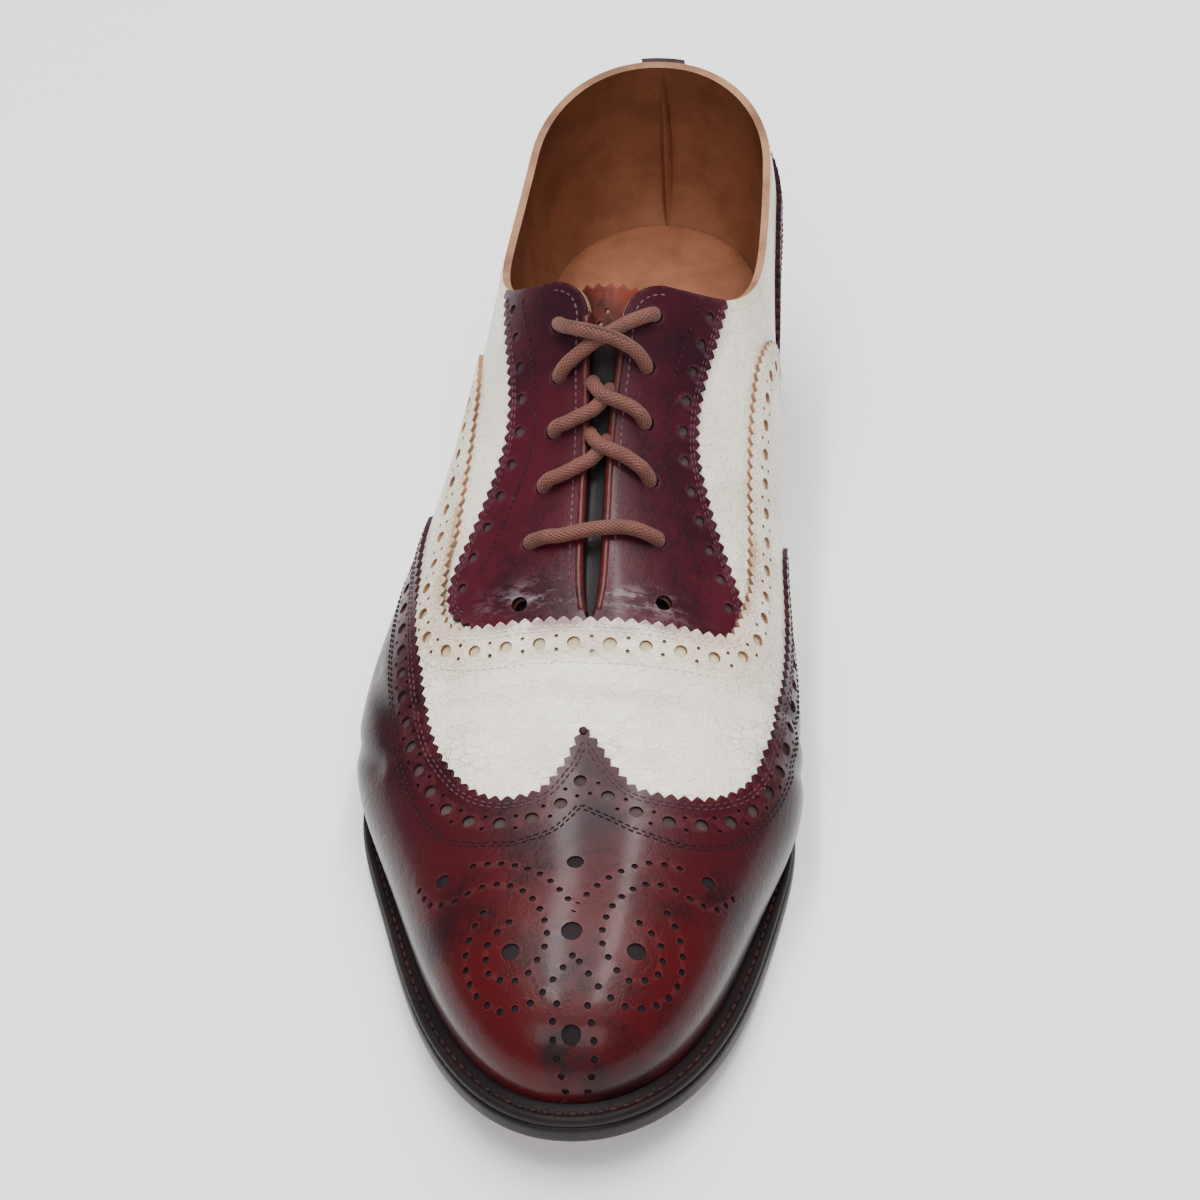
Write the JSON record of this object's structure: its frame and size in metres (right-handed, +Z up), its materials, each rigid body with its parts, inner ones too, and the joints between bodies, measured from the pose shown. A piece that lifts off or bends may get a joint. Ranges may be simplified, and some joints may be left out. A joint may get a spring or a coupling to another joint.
{
  "type": "spectator shoe",
  "caption": "Right-foot two-tone lace-up oxford with a wing-tip toe cap, closed facings, a laced instep, a leather welted sole and a stacked heel.",
  "frame": {"origin": "centre of the footprint's bounding box, on the floor under the sole", "axes": "+Z up, toe towards -Y, heel towards +Y, inner (medial) side of the right foot towards +X"},
  "size_m": [0.1066, 0.3006, 0.0995],
  "materials": {
    "white_leather": "aged smooth white calf with yellowed edges",
    "toe_leather": "polished red-brown calf",
    "burgundy_leather": "polished burgundy calf",
    "tongue_leather": "matt reddish-brown leather",
    "lining_leather": "natural tan lining leather",
    "sole_leather": "dark dyed sole edge, worn",
    "welt_leather": "dark welt with brown stitching",
    "rubber": "black rubber top piece",
    "lace": "waxed round brown cotton"
  },
  "bodies": {
    "root": {"outsole": "sole_leather", "welt": "welt_leather", "insole": "lining_leather", "heel_stack": "sole_leather", "top_lift": "rubber", "upper": "white_leather", "wing_cap": "toe_leather", "facing_lateral": "burgundy_leather", "facing_medial": "burgundy_leather", "counter": "burgundy_leather", "back_strap": "burgundy_leather", "tongue": "tongue_leather", "lace_bar": "lace", "lace_crossing_low": "lace", "lace_crossing_middle": "lace", "lace_crossing_top": "lace"}
  },
  "joints": []
}
